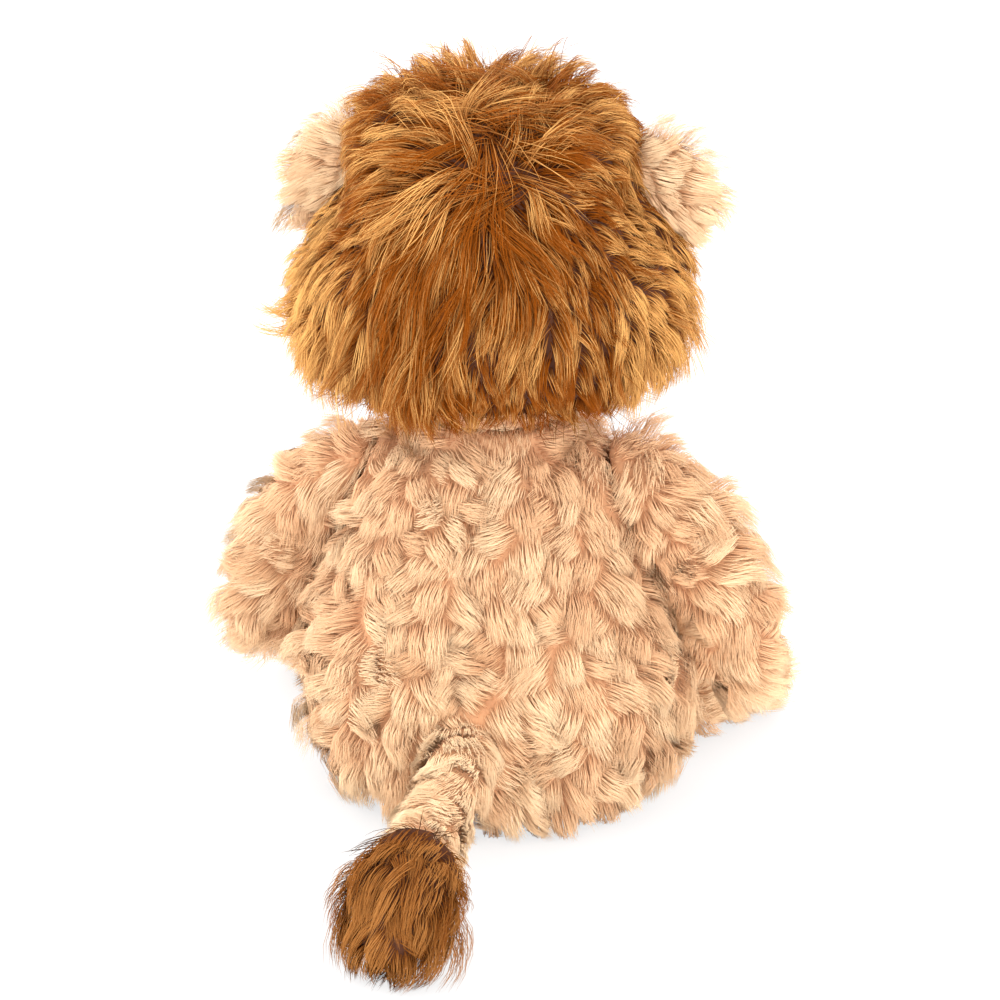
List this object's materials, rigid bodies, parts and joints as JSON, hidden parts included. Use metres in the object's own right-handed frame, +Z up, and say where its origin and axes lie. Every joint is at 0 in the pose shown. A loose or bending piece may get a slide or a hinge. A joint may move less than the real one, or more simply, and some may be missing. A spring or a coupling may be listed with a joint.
{
  "type": "plush lion",
  "caption": "Seated plush lion with a long-haired mane, round ears, stuffed limbs that swing at their seams and a tufted tail that lifts.",
  "frame": {"origin": "middle of the flat seat that the toy sits on", "axes": "+Z up through the neck and the crown; the toy faces -Y, with its left side at +X"},
  "size_m": [0.2298, 0.2659, 0.288],
  "materials": {
    "beige_plush": "long soft pile pressed into small fans",
    "mane_hair": "long glossy hair pile",
    "short_plush": "short velvety pile",
    "nose_velour": "velour",
    "eye_plastic": "polished",
    "washer_plastic": "moulded",
    "stuffing": "loose polyester fibre",
    "bag_cloth": "plain cloth"
  },
  "bodies": {
    "torso": {"torso_shell": "beige_plush", "torso_filling": "stuffing", "pellet_bag": "bag_cloth"},
    "head": {"head_shell": "beige_plush", "head_filling": "stuffing", "mane": "mane_hair", "muzzle": "short_plush", "nose": "nose_velour", "left_eye": "eye_plastic", "right_eye": "eye_plastic", "left_eye_washer": "washer_plastic", "right_eye_washer": "washer_plastic", "left_ear": "beige_plush", "right_ear": "beige_plush", "left_ear_lining": "short_plush", "right_ear_lining": "short_plush"},
    "left_arm": {"left_arm": "beige_plush", "left_arm_filling": "stuffing"},
    "right_arm": {"right_arm": "beige_plush", "right_arm_filling": "stuffing"},
    "left_leg": {"left_leg": "beige_plush", "left_leg_filling": "stuffing", "left_sole": "short_plush"},
    "right_leg": {"right_leg": "beige_plush", "right_leg_filling": "stuffing", "right_sole": "short_plush"},
    "tail": {"tail": "beige_plush", "tail_filling": "stuffing", "tail_tuft": "mane_hair"}
  },
  "joints": [
    {"name": "neck_turn", "type": "hinge", "parent": "torso", "child": "head", "pos_m": [0, 0, 0.158], "axis": [0, 0, 1], "range_deg": [-35, 35], "stiffness_Nm_per_rad": 0.3},
    {"name": "left_arm_swing", "type": "hinge", "parent": "torso", "child": "left_arm", "pos_m": [0.0485, 0, 0.131], "axis": [-0.9385, 0, -0.3453], "range_deg": [-30, 70], "stiffness_Nm_per_rad": 0.12},
    {"name": "right_arm_swing", "type": "hinge", "parent": "torso", "child": "right_arm", "pos_m": [-0.0485, 0, 0.131], "axis": [-0.9385, 0, 0.3453], "range_deg": [-30, 70], "stiffness_Nm_per_rad": 0.12},
    {"name": "left_leg_spread", "type": "hinge", "parent": "torso", "child": "left_leg", "pos_m": [0.059, -0.042, 0.0225], "axis": [0, 0, 1], "range_deg": [-22, 12], "stiffness_Nm_per_rad": 0.2},
    {"name": "right_leg_spread", "type": "hinge", "parent": "torso", "child": "right_leg", "pos_m": [-0.059, -0.042, 0.0225], "axis": [0, 0, -1], "range_deg": [-22, 12], "stiffness_Nm_per_rad": 0.2},
    {"name": "tail_lift", "type": "hinge", "parent": "torso", "child": "tail", "pos_m": [0, 0.06782, 0.03966], "axis": [1, 0, 0], "range_deg": [0, 40]}
  ]
}
